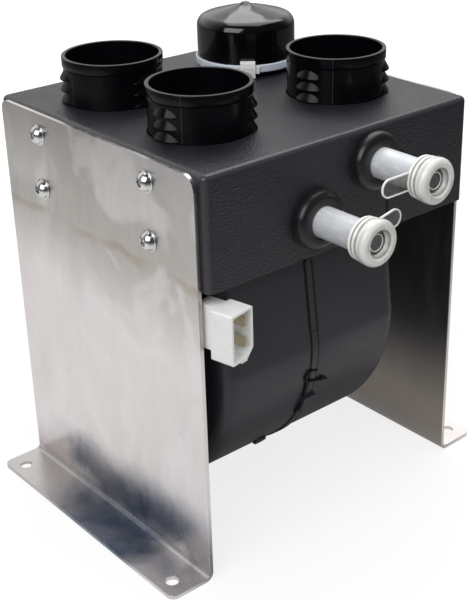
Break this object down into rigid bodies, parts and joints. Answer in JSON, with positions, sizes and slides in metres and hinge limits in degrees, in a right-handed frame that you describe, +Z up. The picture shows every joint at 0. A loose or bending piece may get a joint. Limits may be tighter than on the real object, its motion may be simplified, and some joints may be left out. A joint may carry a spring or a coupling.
{
  "type": "cab heater unit",
  "caption": "Water-heated cab heater: black air case on two folded metal brackets, round duct spigots on top, blower hung below, capped water pipes and a plug at the front.",
  "frame": {"origin": "centre of the four foot holes, at floor level", "axes": "+Z up, -Y towards the front with the water pipes and the plug, +X to the right seen from the front"},
  "size_m": [0.261, 0.2483, 0.2935],
  "materials": {
    "case_plastic": "black, fine leather-like grain",
    "sheet_metal": "bare rolled sheet with a dull cloudy sheen",
    "screw_steel": "bright zinc",
    "spigot_plastic": "glossy black moulding",
    "vinyl": "glossy soft black vinyl",
    "tie_nylon": "natural translucent nylon",
    "aluminium": "dull drawn aluminium",
    "rubber": "black moulded rubber",
    "foam": "grey closed-cell foam",
    "cap_plastic": "milky translucent polyethylene",
    "blower_plastic": "satin black moulding",
    "motor_steel": "zinc-plated steel",
    "bronze": "sintered bronze",
    "magnet": "dark ferrite",
    "copper": "copper",
    "carbon": "carbon",
    "nylon": "natural milky nylon",
    "brass": "tinned brass"
  },
  "bodies": {
    "unit": {"bearing_back": "bronze", "bearing_front": "bronze", "blanking_cap": "vinyl", "bracket_left": "sheet_metal", "bracket_nuts_left": "screw_steel", "bracket_nuts_right": "screw_steel", "bracket_right": "sheet_metal", "bracket_screws_left": "screw_steel", "bracket_screws_right": "screw_steel", "brush_card": "blower_plastic", "brushes": "carbon", "cable_tie": "tie_nylon", "case_base": "case_plastic", "case_shell": "case_plastic", "core_fins": "aluminium", "core_seal_lower": "foam", "core_seal_upper": "foam", "core_side_plate_left": "aluminium", "core_side_plate_right": "aluminium", "core_tank_back": "aluminium", "core_tank_front": "aluminium", "core_tubes": "aluminium", "grommet_left": "rubber", "grommet_right": "rubber", "housing_screws": "screw_steel", "motor_can": "motor_steel", "motor_end_cap": "motor_steel", "motor_magnets": "magnet", "motor_mount": "blower_plastic", "motor_sleeve": "rubber", "mount_screws": "screw_steel", "plug_holder": "blower_plastic", "plug_housing": "nylon", "plug_terminals": "brass", "scroll_left": "blower_plastic", "scroll_right": "blower_plastic", "seam_clips": "blower_plastic", "spigot_back_left": "spigot_plastic", "spigot_back_right": "spigot_plastic", "spigot_front_left": "spigot_plastic", "spigot_front_right": "spigot_plastic", "water_pipe_left": "aluminium", "water_pipe_right": "aluminium"},
    "rotor": {"motor_shaft": "motor_steel", "armature_stack": "motor_steel", "armature_windings": "copper", "commutator": "copper", "fan_disc": "blower_plastic", "fan_blades_left": "blower_plastic", "fan_blades_right": "blower_plastic", "fan_ring_left": "blower_plastic", "fan_ring_right": "blower_plastic", "hub_clip": "motor_steel"},
    "cap_left": {"pipe_cap_left": "cap_plastic"},
    "cap_right": {"pipe_cap_right": "cap_plastic"}
  },
  "joints": [
    {"name": "fan_spin", "type": "hinge", "parent": "unit", "child": "rotor", "pos_m": [-0.021, 0.0045, 0.124], "axis": [1, 0, 0], "continuous": true},
    {"name": "cap_left_pull", "type": "slide", "parent": "unit", "child": "cap_left", "axis": [0, -1, 0], "range_m": [0, 0.03]},
    {"name": "cap_right_pull", "type": "slide", "parent": "unit", "child": "cap_right", "axis": [0, -1, 0], "range_m": [0, 0.03]}
  ]
}
